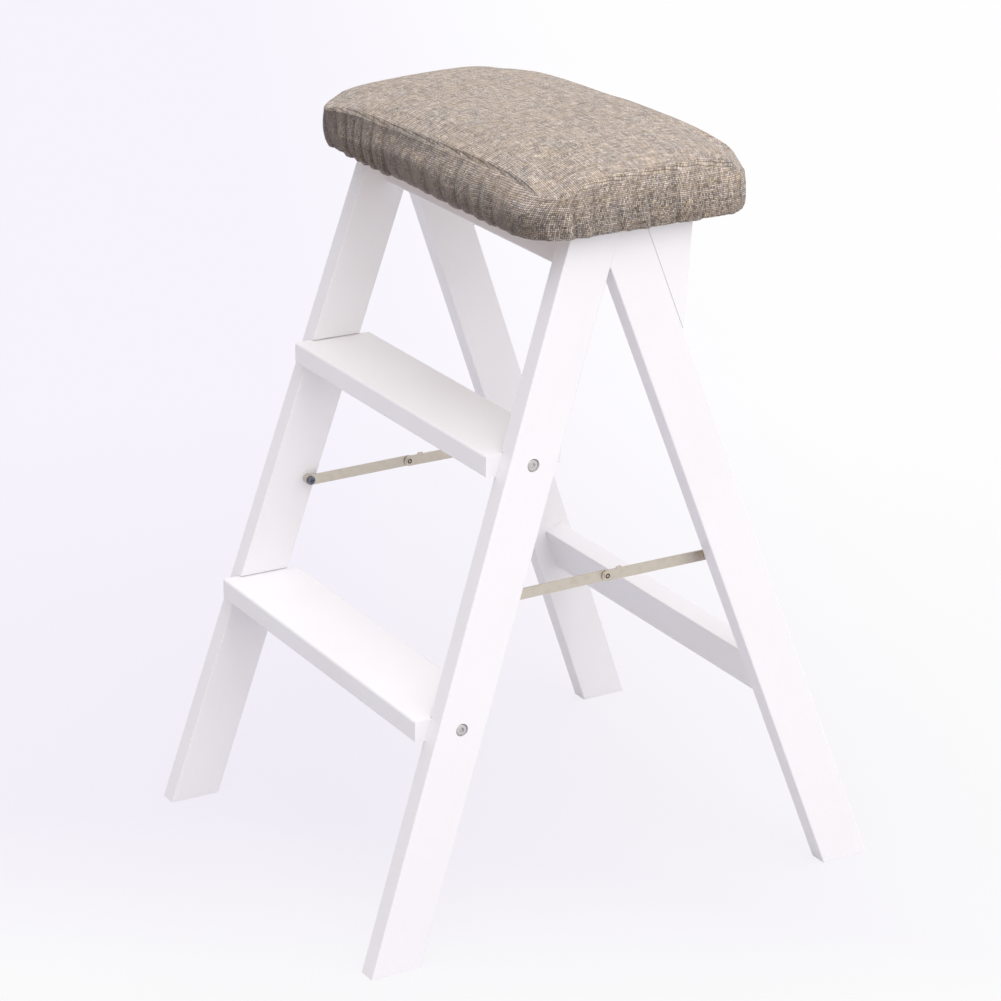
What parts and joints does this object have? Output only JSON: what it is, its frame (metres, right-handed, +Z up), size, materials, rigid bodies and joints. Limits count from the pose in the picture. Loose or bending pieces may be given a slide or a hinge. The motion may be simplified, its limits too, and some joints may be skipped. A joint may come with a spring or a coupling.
{
  "type": "folding step stool",
  "caption": "Folding wooden stool ladder with two housed treads, a padded cloth seat, hinged rear legs and jointed metal stays.",
  "frame": {"origin": "bottom centre of the bounding box, on the floor", "axes": "+X across the stool to the right as seen by a person climbing it, the climbing side faces -Y, +Z up"},
  "size_m": [0.4192, 0.5006, 0.6756],
  "materials": {
    "painted_wood": "white semi-gloss paint",
    "plywood": "bare",
    "beech": "bare",
    "foam": "open-cell foam",
    "woven_cover": "coarse tweed weave",
    "elastic": "braided elastic",
    "nickel_steel": "nickel plated",
    "zinc_steel": "zinc plated",
    "warm_nickel": "warm nickel plated"
  },
  "bodies": {
    "front_frame": {"stile_left": "painted_wood", "stile_right": "painted_wood", "tread_lower": "painted_wood", "tread_upper": "painted_wood", "front_apron": "painted_wood", "seat_board": "plywood", "seat_foam": "foam", "seat_cover": "woven_cover", "skirt_elastic": "elastic", "tread_bolts": "nickel_steel", "barrel_nuts": "zinc_steel", "apron_dowels": "beech", "hinge_front_leaf_left": "zinc_steel", "hinge_front_leaf_right": "zinc_steel", "hinge_pins": "zinc_steel", "hinge_front_screws": "zinc_steel", "seat_screws": "zinc_steel", "stay_front_screw_left": "warm_nickel", "stay_front_screw_right": "warm_nickel", "stay_front_sleeve_left": "warm_nickel", "stay_front_sleeve_right": "warm_nickel"},
    "rear_frame": {"rear_leg_left": "painted_wood", "rear_leg_right": "painted_wood", "wedge_left": "painted_wood", "wedge_right": "painted_wood", "top_rail": "painted_wood", "cross_rail": "painted_wood", "top_rail_dowels": "beech", "cross_rail_dowels": "beech", "hinge_rear_leaf_left": "zinc_steel", "hinge_rear_leaf_right": "zinc_steel", "hinge_rear_screws": "zinc_steel", "wedge_screws": "nickel_steel", "stay_rear_stud_left": "warm_nickel", "stay_rear_stud_right": "warm_nickel"},
    "stay_front_left": {"stay_front_bar_left": "warm_nickel", "stay_elbow_rivet_left": "warm_nickel"},
    "stay_rear_left": {"stay_rear_bar_left": "warm_nickel"},
    "stay_front_right": {"stay_front_bar_right": "warm_nickel", "stay_elbow_rivet_right": "warm_nickel"},
    "stay_rear_right": {"stay_rear_bar_right": "warm_nickel"}
  },
  "joints": [
    {"name": "rear_fold", "type": "hinge", "parent": "front_frame", "child": "rear_frame", "pos_m": [0, -0.0181, 0.56755], "axis": [-1, 0, 0], "range_deg": [0, 37]},
    {"name": "stay_swing_left", "type": "hinge", "parent": "front_frame", "child": "stay_front_left", "pos_m": [0, -0.11601, 0.2993], "axis": [1, 0, 0], "range_deg": [0, 73.56]},
    {"name": "stay_elbow_left", "type": "hinge", "parent": "stay_front_left", "child": "stay_rear_left", "pos_m": [0, -0.01491, 0.30042], "axis": [-1, 0, 0], "range_deg": [0, 163.05]},
    {"name": "stay_swing_right", "type": "hinge", "parent": "front_frame", "child": "stay_front_right", "pos_m": [0, -0.11601, 0.2993], "axis": [1, 0, 0], "range_deg": [0, 37.27]},
    {"name": "stay_elbow_right", "type": "hinge", "parent": "stay_front_right", "child": "stay_rear_right", "pos_m": [0, -0.00491, 0.30048], "axis": [-1, 0, 0], "range_deg": [0, 162.99]}
  ],
  "couplings": [
    {"joint": "stay_swing_left", "follows": "rear_fold", "ratio": 1.9876},
    {"joint": "stay_elbow_left", "follows": "rear_fold", "ratio": 4.4062},
    {"joint": "stay_swing_right", "follows": "rear_fold", "ratio": 1.0067},
    {"joint": "stay_elbow_right", "follows": "rear_fold", "ratio": 4.4047}
  ]
}
